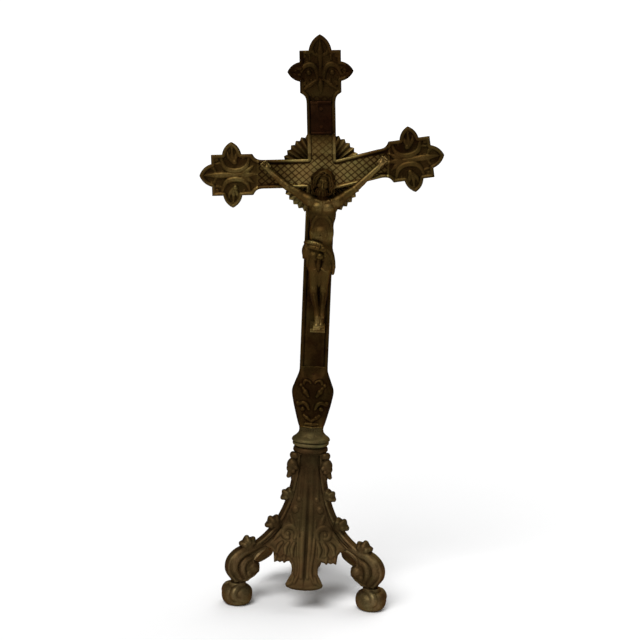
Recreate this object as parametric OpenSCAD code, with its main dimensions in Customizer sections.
// Standing altar cross on a three-legged base, all in cast and turned brass.
// Millimetres. The origin is on the table, under the stem's axis. The front faces -Y, and +Z is up.

/* [Cross] */
// Height of the crossing of the arms above the table
crossing_z = 350; // [345:1:355]
// Width of the shaft and of the arms
arm_w = 23; // [22:0.5:24]
// Thickness of the cross plate
plate_t = 6; // [5:0.5:8]
// Width of the raised border
border_w = 3; // [2.5:0.5:4]
// Depth of the recessed field inside the border
field_depth = 1.5; // [1:0.1:2]
// From the crossing to the centre of the left arm's terminal
left_reach = 72; // [70:0.1:74]
// From the crossing to the centre of the right arm's terminal
right_reach = 73.5; // [71:0.1:75]
// From the crossing to the centre of the top terminal
top_reach = 81; // [80:0.5:84]
// Half the side of a terminal's square block
block_half = 16.5; // [16:0.5:17]
// From a terminal's centre to the tips of its side leaves
leaf_reach = 26.4; // [25:0.1:28]
// From an arm's terminal centre to the tip of its outer leaf
arm_leaf_reach = 26.4; // [25:0.1:28]
// From the top terminal's centre to the tip of its outer leaf
top_leaf_reach = 29; // [27:0.5:30]
// Upward bend of the right arm, which starts beside the crossing
right_bend = 13.5; // [0:0.5:15]
// How far the right arm's terminal is bent back towards level
right_turn_back = 3.5; // [0:0.5:5]
// Downward bend of the left arm
left_bend = 3.6; // [0:0.2:5]
// Leftward bend of the top arm
top_bend = 3.3; // [0:0.1:5]

/* [Glory] */
// Outer radius of the sunburst disc
glory_r = 33; // [30:0.5:36]
// Number of rays on the disc
glory_rays = 40; // [32:4:48]
// Thickness of the disc
glory_t = 1.6; // [1.2:0.1:2]

/* [Figure] */
// Height of the head's centre above the table
head_z = 344; // [342:0.5:346]
// Height of the shoulders
shoulder_z = 328; // [326:0.5:330]
// Height of the hips
hip_z = 287; // [285:0.5:289]
// Height of the ankles
ankle_z = 234; // [233:0.5:236]

/* [Stem] */
// Height where the shaft enters the knop
knop_top_z = 193; // [190:1:196]
// Height of the knop's widest place
knop_mid_z = 175; // [172:1:178]
// Height of the knop's lower end
knop_low_z = 143; // [141:1:145]
// Half the greatest width of the knop
knop_half_w = 17; // [16:0.5:18]
// Diameter of the rod that ties the stem to the base
rod_d = 6; // [5:0.5:7]

/* [Base] */
// Height of the base's top
base_top_z = 122; // [120:1:124]
// From the axis to the centre of a foot pad
foot_reach = 63; // [60:0.5:65]
// Radius of a foot pad
pad_r = 12.2; // [11:0.1:13]
// Height of a foot pad
pad_h = 20; // [18:1:21]
// Thickness of a leg
leg_t = 8; // [7:0.5:9]
// Thickness of a panel
panel_t = 2.5; // [2:0.5:3]
// Half the width of the tongue at a panel's foot
tongue_half = 15; // [13:0.5:16]

/* [Hidden] */
$fn = 48;

old_brass = "#6b5326";
bright_brass = "#8f7a48";
dark_brass = "#4a3819";

front_y = -plate_t / 2;
back_y = plate_t / 2;
field_y = front_y + field_depth;
arm_half = arm_w / 2;

// Shape helpers ---------------------------------------------------------------

// Point of a cubic Bezier curve at t from 0 to 1
function bezier(p, t) =
    pow(1 - t, 3) * p[0] + 3 * t * pow(1 - t, 2) * p[1] + 3 * t * t * (1 - t) * p[2] + pow(t, 3) * p[3];

// Points along a cubic Bezier curve, both ends included
function curve(p, n) = [for (i = [0 : n]) bezier(p, i / n)];

// Radius of a concave fillet that steps out by s over the length l
function fillet_r(s, l) = (s * s + l * l) / (2 * s);

// A point turned about the origin
function turned_point(p, a) = [p[0] * cos(a) - p[1] * sin(a), p[0] * sin(a) + p[1] * cos(a)];

function reversed(list) = [for (i = [len(list) - 1 : -1 : 0]) list[i]];

// The list's points mirrored left to right, in the opposite order
function mirrored(list) = [for (p = reversed(list)) [-p[0], p[1]]];

// Right half of a pointed leaf standing on the X axis, from its foot up to its tip
function half_leaf(half_w, h, steps = 5) =
    let (swell = 0.5)
    [for (i = [0 : steps]) let (t = i / steps)
        [half_w * (1 - t) + swell * h * t * (1 - t), h * t + swell * half_w * t * (1 - t)]];

// Whole leaf: from its right foot over the tip to its left foot
function leaf(half_w, h) =
    let (side = half_leaf(half_w, h), steps = len(side) - 1)
    concat(side, mirrored([for (i = [0 : steps - 1]) side[i]]));

module leaf_shape(half_w, h) {
    polygon(leaf(half_w, h));
}

// A drawing in the XZ plane, made solid from y0 to y1
module upright(y0, y1) {
    translate([0, y1, 0]) rotate([90, 0, 0]) linear_extrude(y1 - y0) children();
}

// A round bar along Y
module y_bar(x, z, r, y0, y1) {
    translate([x, y1, z]) rotate([90, 0, 0]) cylinder(r = r, h = y1 - y0);
}

// Two balls and the skin between them
module limb(a, ra, b, rb) {
    hull() {
        translate(a) sphere(ra, $fn = 20);
        translate(b) sphere(rb, $fn = 20);
    }
}

// Cross -----------------------------------------------------------------------

side_leaf_half = 7.6;
outer_leaf_half = 9.2;
fillet_l = 9;
tang_w = 12;
tang_l = 14;
tang_t = 5;
foot_y = knop_top_z - crossing_z;

// Where a terminal's centre lies, about the crossing, and how far the terminal is turned
top_place = [0, arm_half] + turned_point([0, top_reach - arm_half], top_bend);
left_place = [-arm_half, 0] + turned_point([arm_half - left_reach, 0], left_bend);
right_place = [arm_half, 0] + turned_point([right_reach - arm_half, 0], right_bend);
top_turn = top_bend;
left_turn = 90 + left_bend;
right_turn = -90 + right_bend - right_turn_back;

// Right side of a terminal whose outer leaf points along +Y, set inwards by inset
function terminal_side(inset) =
    let (half = block_half - inset, edge = arm_half - inset, low = -block_half - fillet_l)
    concat(
        curve([[edge, low], [edge, low + 6], [edge + 1.6, -half - 2], [half, -half]], 6),
        [for (p = leaf(side_leaf_half - 0.6 * inset, leaf_reach - 1.6 * inset - half)) [half + p[1], -p[0]]],
        [[half, half]]
    );

// Edge of a terminal from its right side over the outer leaf to its left side
function terminal_edge(inset, outer_reach) =
    let (half = block_half - inset)
    concat(
        terminal_side(inset),
        [for (p = leaf(outer_leaf_half - 0.6 * inset, outer_reach - 1.6 * inset - half)) [p[0], half + p[1]]],
        mirrored(terminal_side(inset))
    );

// Points of a terminal moved to their place on the cross
function placed(points, place, turn) = [for (p = points) place + turned_point(p, turn)];

// Front view of the whole cross about its crossing, set inwards by inset, with its foot at the given height
function cross_edge(inset, foot) =
    let (
        e = arm_half - inset,
        elbow = [arm_half + e * sin(right_bend), -e * cos(right_bend)],
        lift = e * cos(right_bend) + (e * sin(right_bend) - inset) * tan(right_bend)
    )
    concat(
        [[-e, foot], [e, foot], [e, -e], elbow],
        placed(terminal_edge(inset, arm_leaf_reach), right_place, right_turn),
        [[e, lift]],
        placed(terminal_edge(inset, top_leaf_reach), top_place, top_turn),
        [[-e, e]],
        placed(terminal_edge(inset, arm_leaf_reach), left_place, left_turn),
        [[-e, -e]]
    );

// Raised leaf ornament of a terminal: a spear between two scrolls
module terminal_ornament() {
    leaf_shape(3, 16);
    translate([0, -12]) square([1.6, 26], center = true);
    for (side = [-1, 1]) {
        translate([side * 7, 3]) circle(3.6);
        translate([side * 7, -7]) circle(3);
        translate([side * 12, 8]) circle(1.5);
    }
    translate([0, -14]) rotate(180) leaf_shape(4, 7);
}

module cross() {
    color(old_brass) difference() {
        union() {
            translate([0, 0, crossing_z]) {
                upright(front_y, back_y) polygon(cross_edge(0, foot_y));
            }
            translate([-tang_w / 2, -tang_t / 2, knop_top_z - tang_l])
                cube([tang_w, tang_t, tang_l + 1]);
        }
        difference() {
            translate([0, 0, crossing_z])
                upright(front_y - 1, field_y) polygon(cross_edge(border_w, foot_y - 1));
            translate([0, 0, crossing_z]) upright(front_y + 0.3, field_y + 1) ornaments();
        }
        for (p = nail_places) y_bar(p[0], p[1], nail_r + 0.15, front_y - 1, nail_end_y + 0.2);
        for (p = rivet_places) y_bar(p[0], p[1] + crossing_z, rivet_r, back_y - 2, back_y + 1);
        on_titulus() for (z = titulus_pin_z) y_bar(0, z, pin_r, front_y - 1, titulus_pin_end);
        y_bar(0, tang_screw_z, screw_r, -tang_t, tang_t);
    }
}

// The three terminals' ornaments, in the cross outline's own frame
module ornaments() {
    translate(top_place) rotate(top_turn) terminal_ornament();
    translate(left_place) rotate(left_turn) terminal_ornament();
    translate(right_place) rotate(right_turn) terminal_ornament();
}

// Glory -----------------------------------------------------------------------

rivet_r = 1;
rivet_place = 8;
rivet_places = [for (sx = [-1, 1], sz = [-1, 1]) [sx * rivet_place, sz * rivet_place]];

module glory() {
    tips = [for (i = [0 : 2 * glory_rays - 1])
        let (r = i % 2 == 0 ? glory_r : glory_r - 1.6, a = 180 * i / glory_rays)
        [r * cos(a), r * sin(a)]];
    color(old_brass) difference() {
        translate([0, 0, crossing_z]) upright(back_y, back_y + glory_t) polygon(tips);
        for (p = rivet_places)
            y_bar(p[0], p[1] + crossing_z, rivet_r, back_y - 1, back_y + glory_t + 1);
    }
}

module glory_rivets() {
    color(dark_brass) for (p = rivet_places) {
        y_bar(p[0], p[1] + crossing_z, rivet_r, back_y - 2, back_y + glory_t);
        y_bar(p[0], p[1] + crossing_z, 2 * rivet_r, back_y + glory_t, back_y + glory_t + 0.9);
    }
}

// Titulus ---------------------------------------------------------------------

titulus_w = 16.4;
titulus_h = 24;
titulus_t = 1.2;
titulus_up = 44.5;
titulus_roll = 1.6;
pin_r = 0.7;
titulus_pin_z = [-7, 7];
titulus_pin_end = field_y + 1.5;

// Moves a part drawn about the origin to the titulus's place on the bent top arm
module on_titulus() {
    place = [0, arm_half] + turned_point([0, titulus_up - arm_half], top_bend);
    translate([place[0], 0, crossing_z + place[1]]) rotate([0, -top_bend, 0]) children();
}

module titulus() {
    y0 = field_y - titulus_t;
    color(dark_brass) on_titulus() difference() {
        union() {
            translate([-titulus_w / 2, y0, -titulus_h / 2]) cube([titulus_w, titulus_t, titulus_h]);
            for (end = [-1, 1])
                translate([-titulus_w / 2, field_y - titulus_roll, end * titulus_h / 2])
                    rotate([0, 90, 0]) cylinder(r = titulus_roll, h = titulus_w);
        }
        for (z = titulus_pin_z) y_bar(0, z, pin_r, y0 - 1, field_y + 1);
    }
}

module titulus_pins() {
    y0 = field_y - titulus_t;
    color(old_brass) on_titulus() for (z = titulus_pin_z) {
        y_bar(0, z, pin_r, y0, titulus_pin_end);
        y_bar(0, z, 2 * pin_r, y0 - 0.5, y0);
    }
}

// Figure ----------------------------------------------------------------------

hand_left = [-46, 356.4];
hand_right = [50, 364.8];
feet_place = [0, 229];
head_x = 1.8;
nail_r = 0.7;
nail_head_r = 1.5;
nail_places = [hand_left, hand_right, feet_place];
nail_end_y = field_y + 1.5;
hand_nail_y = front_y - 4;
feet_nail_y = front_y - 9;
body_y = front_y - 4;
footrest_top_z = ankle_z - 9;

module arm(side, hand) {
    shoulder = [2 + side * 11, body_y - 1, shoulder_z - 1];
    elbow = [side * 27.5, front_y - 3.5, shoulder_z + 10];
    wrist = [hand[0] - side * 4.5, front_y - 2.2, hand[1] - 6];
    limb(shoulder, 4.8, elbow, 3.8);
    limb(elbow, 3.7, wrist, 2.4);
    limb(wrist, 2.4, [hand[0], front_y - 1.4, hand[1] + 1], 2.2);
}

module leg_of_figure(side) {
    knee = [side * 4.2, body_y - 4, (hip_z + ankle_z) / 2 + 0.5];
    limb([side * 5, body_y - 1, hip_z - 6], 6.2, knee, 4.6);
    limb(knee, 4.4, [side * 3, body_y - 1.5, ankle_z], 2.8);
    limb([side * 3, body_y - 1.5, ankle_z], 2.8, [side * 3, body_y - 4, footrest_top_z + 2.6], 2.4);
}

module corpus() {
    color(bright_brass) difference() {
        union() {
            limb([head_x, body_y - 5.5, head_z + 2], 8, [head_x, body_y - 5.5, head_z - 5], 6.4);
            limb([head_x, body_y - 3, head_z - 8], 4.6, [2, body_y - 1, shoulder_z], 5);
            hull() for (side = [-1, 1]) {
                translate([2 + side * 5.8, body_y - 1.5, shoulder_z - 7]) sphere(5.6, $fn = 20);
                translate([2 + side * 4.4, body_y - 1, hip_z + 13]) sphere(4.8, $fn = 20);
            }
            hull() for (side = [-1, 1]) {
                translate([1.5 + side * 5.5, body_y - 1.5, hip_z + 7]) sphere(5, $fn = 20);
                translate([1.2 + side * 6.6, body_y - 1.5, hip_z - 4]) sphere(6.2, $fn = 20);
            }
            limb([11, body_y - 1, hip_z], 3, [11.6, body_y - 1, hip_z - 14], 2.4);
            arm(-1, hand_left);
            arm(1, hand_right);
            for (side = [-1, 1]) leg_of_figure(side);
        }
        translate([-80, front_y, 150]) cube([160, 40, 250]);
        translate([-20, -30, footrest_top_z - 20]) cube([40, 60, 20]);
        for (p = nail_places) y_bar(p[0], p[1], nail_r + 0.3, -40, front_y + 1);
        for (p = [hand_left, hand_right]) y_bar(p[0], p[1], nail_head_r + 0.2, -40, hand_nail_y + 0.2);
        y_bar(feet_place[0], feet_place[1], nail_head_r + 0.2, -40, feet_nail_y + 0.2);
    }
}

module nail(place, y_head) {
    y_bar(place[0], place[1], nail_r, y_head, nail_end_y);
    y_bar(place[0], place[1], nail_head_r, y_head - 0.9, y_head);
}

module hand_nail_left() {
    color(dark_brass) nail(hand_left, hand_nail_y);
}

module hand_nail_right() {
    color(dark_brass) nail(hand_right, hand_nail_y);
}

module feet_nail() {
    color(dark_brass) nail(feet_place, feet_nail_y);
}

module footrest() {
    depth = 9;
    wedge = [[0, 0], [0, -4], [-3, -4], [-depth, -1.5], [-depth, 0]];
    color(old_brass) translate([-7, front_y, footrest_top_z])
        rotate([90, 0, 90]) linear_extrude(14) polygon(wedge);
}

// Stem ------------------------------------------------------------------------

screw_r = 1.2;
tang_screw_z = knop_top_z - 7;
knop_neck_r = 10;
knop_half_t = 9;
rod_top_z = knop_mid_z - 10;

// Thin upright slice of the knop, w wide and t thick
module knop_slice(w, t, z) {
    translate([-w / 2, -t / 2, z]) cube([w, t, 0.5]);
}

module knop() {
    color(old_brass) difference() {
        union() {
            hull() {
                knop_slice(arm_w, plate_t + 2, knop_top_z - 0.5);
                knop_slice(2 * knop_half_w, knop_half_t * 1.4, knop_mid_z);
            }
            hull() {
                knop_slice(2 * knop_half_w, knop_half_t * 1.4, knop_mid_z - 0.5);
                knop_slice(20, 2 * knop_half_t, knop_mid_z - 6);
                translate([0, 0, knop_low_z + 4]) cylinder(r = knop_neck_r, h = 0.5, $fn = 32);
            }
            translate([0, 0, knop_low_z]) cylinder(r = knop_neck_r, h = 4.2);
        }
        translate([-tang_w / 2, -tang_t / 2, knop_top_z - tang_l]) cube([tang_w, tang_t, tang_l + 1]);
        translate([0, 0, knop_low_z - 1]) cylinder(d = rod_d, h = rod_top_z - knop_low_z + 1);
        y_bar(0, tang_screw_z, screw_r, -tang_t / 2, 20);
    }
}

module tang_screw() {
    head_y = 5.6;
    color(dark_brass) {
        y_bar(0, tang_screw_z, screw_r, -tang_t / 2, head_y);
        y_bar(0, tang_screw_z, 2 * screw_r, head_y, head_y + 1.2);
    }
}

// Ring about the axis whose outline is turned from [radius, height] points above z
module turned(z, profile) {
    color(bright_brass) translate([0, 0, z]) difference() {
        rotate_extrude() polygon(profile);
        translate([0, 0, -1]) cylinder(d = rod_d + 0.6, h = 40);
    }
}

ferrule_z = 139.5;
dome_z = 131;
ring_z = 126.5;
dome_r = 15.1;
ring_r = 14;

module neck_ferrule() {
    h = knop_low_z - ferrule_z;
    turned(ferrule_z, concat([[0, 0], [10.2, 0]], curve([[10.2, 0], [11.6, 0.8], [11.6, h - 0.8], [10.2, h]], 8),
        [[0, h]]));
}

module collar_dome() {
    h = ferrule_z - dome_z;
    turned(dome_z, concat([[0, 0], [dome_r, 0], [dome_r, 1]],
        curve([[dome_r, 1], [dome_r, 5], [12, 6.5], [10.2, h]], 10), [[0, h]]));
}

module collar_ring() {
    h = dome_z - ring_z;
    turned(ring_z, concat([[0, 0], [ring_r - 1, 0]],
        curve([[ring_r - 1, 0], [ring_r + 0.6, 0.4], [ring_r + 0.6, h - 0.4], [ring_r - 1, h]], 8), [[0, h]]));
}

module base_cap() {
    h = ring_z - base_top_z;
    turned(base_top_z, concat([[0, 0], [13.4, 0]], curve([[13.4, 0], [15, 1], [14, h - 0.6], [12, h]], 8),
        [[0, h]]));
}

module tie_rod() {
    color(dark_brass) translate([0, 0, rod_low_z]) cylinder(d = rod_d, h = rod_top_z - rod_low_z);
}

// Base ------------------------------------------------------------------------

plate_z = 52;
plate_h = 3;
ledge_r = 20;
rod_low_z = plate_z - 7;
hub_r = 7;
shoulder = [51.5, 47.5];
knee = [foot_reach + 10.5, 31];
ankle_out = [foot_reach + 3.5, pad_h - 1];
ankle_in = [foot_reach - 8, pad_h - 1];
volute_place = [50.5, 28.5];
volute_r = 5.8;
leg_screw_r = 1.5;
leg_screw_reach = 27;

// Outer edge of a leg, as [reach, height] from the hub down to the shoulder
ridge = [[13.3, base_top_z], [13.5, 84], [27, 58], shoulder];

// Leg seen from its side
leg_side = concat(
    [[hub_r, base_top_z]],
    curve(ridge, 14),
    curve([shoulder, [64, 47.5], knee + [0, 9], knee], 8),
    curve([knee, knee - [0, 7], ankle_out + [2.5, 4], ankle_out], 8),
    curve([ankle_in, [53, 23], [57, 28], [52.5, 31]], 6),
    curve([[48.5, 31], [48, 40.5], [40, 43], [31, plate_z + plate_h]], 8),
    [[ledge_r, plate_z + plate_h], [ledge_r, plate_z + plate_h + 4]],
    curve([[22, plate_z + plate_h + 8], [14, 74], [8, 84], [hub_r, 100]], 8)
);

// Crockets up the ridge, as [place along the ridge, radius of the tip ball]
crockets = [[0.36, 3.8], [0.68, 4.3], [1, 4.6]];

// Direction in which each leg points, front left, front right and rear
leg_turn = [210, 330, 90];

// Leaf crocket standing on the ridge at t along it
module crocket(t, r) {
    p = bezier(ridge, t) + (t == 1 ? [2.5, -0.5] : [0, 0]);
    translate([p[0], 0, p[1]]) {
        for (side = [-1, 1]) translate([0.5, side * 2.6, 0]) sphere(r * 0.75, $fn = 16);
        translate([r * 0.5, 0, r * 0.6]) sphere(r, $fn = 16);
    }
}

module base_leg(turn) {
    color(old_brass) rotate(turn) difference() {
        union() {
            rotate([90, 0, 0]) translate([0, 0, -leg_t / 2]) linear_extrude(leg_t) polygon(leg_side);
            rotate([90, 0, 0]) translate([volute_place[0], volute_place[1], -leg_t / 2])
                cylinder(r = volute_r, h = leg_t);
            translate([foot_reach, 0, 0]) pad();
            for (c = crockets) crocket(c[0], c[1]);
            translate([14, 0, 118]) sphere(3.4, $fn = 16);
            translate([15.5, 0, 110]) sphere(5, $fn = 20);
            translate([16.5, 0, 104]) sphere(3.2, $fn = 16);
        }
        translate([leg_screw_reach, 0, plate_z]) cylinder(r = leg_screw_r, h = 9);
    }
}

module pad() {
    wide_z = 8.5;
    rotate_extrude() polygon(concat([[0, 0]],
        curve([[pad_r - 5.5, 0], [pad_r - 1.5, 0.2], [pad_r, 3.5], [pad_r, wide_z]], 8),
        curve([[pad_r, wide_z], [pad_r, 12.5], [pad_r - 2, 15.5], [7, 17]], 8), [[6, pad_h], [0, pad_h]]));
}

module leg_front_left() {
    base_leg(leg_turn[0]);
}

module leg_front_right() {
    base_leg(leg_turn[1]);
}

module leg_rear() {
    base_leg(leg_turn[2]);
}

// Outer face of a panel on its middle line, as [distance, height] from the top down to the tongue
slope_top = [[9, base_top_z], [9.2, 100], [13, 74], [17.5, 58]];
slope_low = [[17.5, 58], [24, 40], [41, 34], [46.5, 19]];

// Panel seen from its side: the outer face and the same face moved inwards
function panel_face(back) = [for (p = concat(curve(slope_top, 10), curve(slope_low, 8))) [p[0] - back, p[1]]];

// Panel seen from the front
module panel_front_view() {
    tongue_z = 19;
    lobe_x = 27;
    lobe_z = 38.5;
    arch_z = 45.5;
    difference() {
        translate([-50, tongue_z]) square([100, base_top_z - tongue_z]);
        for (side = [0, 1]) mirror([side, 0]) {
            translate([tongue_half, 0]) square([50, lobe_z]);
            translate([tongue_half + 4, 31]) circle(9);
            translate([lobe_x, 0]) square([50, arch_z]);
        }
    }
}

// Panel that faces along +X before it is turned
module base_panel(turn) {
    apex = leg_t / 2 / sin(60);
    color(old_brass) rotate(turn) intersection() {
        translate([0, 45, 0]) rotate([90, 0, 0]) linear_extrude(90)
            polygon(concat(panel_face(0), reversed(panel_face(panel_t))));
        rotate([90, 0, 90]) linear_extrude(60) panel_front_view();
        linear_extrude(base_top_z)
            polygon([[apex, 0], [apex + 60, 60 * tan(60)], [apex + 60, -60 * tan(60)]]);
    }
}

module panel_front() {
    base_panel(270);
}

module panel_rear_left() {
    base_panel(150);
}

module panel_rear_right() {
    base_panel(30);
}

module clamp_plate() {
    color(dark_brass) translate([0, 0, plate_z]) difference() {
        union() {
            cylinder(r = 14, h = plate_h);
            for (turn = leg_turn) rotate(turn) translate([0, -leg_t / 2, 0])
                cube([leg_screw_reach + 3, leg_t, plate_h]);
        }
        translate([0, 0, -1]) cylinder(d = rod_d + 0.4, h = plate_h + 2);
        for (turn = leg_turn) rotate(turn) translate([leg_screw_reach, 0, -1])
            cylinder(r = leg_screw_r, h = plate_h + 2);
    }
}

module clamp_screws() {
    color(bright_brass) for (turn = leg_turn) rotate(turn)
        translate([leg_screw_reach, 0, plate_z]) {
            cylinder(r = leg_screw_r, h = 8);
            translate([0, 0, -2]) cylinder(r = 2 * leg_screw_r, h = 2);
        }
}

module clamp_nut() {
    nut_h = 5;
    color(bright_brass) translate([0, 0, plate_z - nut_h]) difference() {
        cylinder(d = 2 * rod_d, h = nut_h, $fn = 6);
        translate([0, 0, -1]) cylinder(d = rod_d, h = nut_h + 2);
    }
}

cross();
glory();
glory_rivets();
titulus();
titulus_pins();
corpus();
hand_nail_left();
hand_nail_right();
feet_nail();
footrest();
knop();
tang_screw();
neck_ferrule();
collar_dome();
collar_ring();
base_cap();
leg_front_left();
leg_front_right();
leg_rear();
panel_front();
panel_rear_left();
panel_rear_right();
tie_rod();
clamp_plate();
clamp_screws();
clamp_nut();
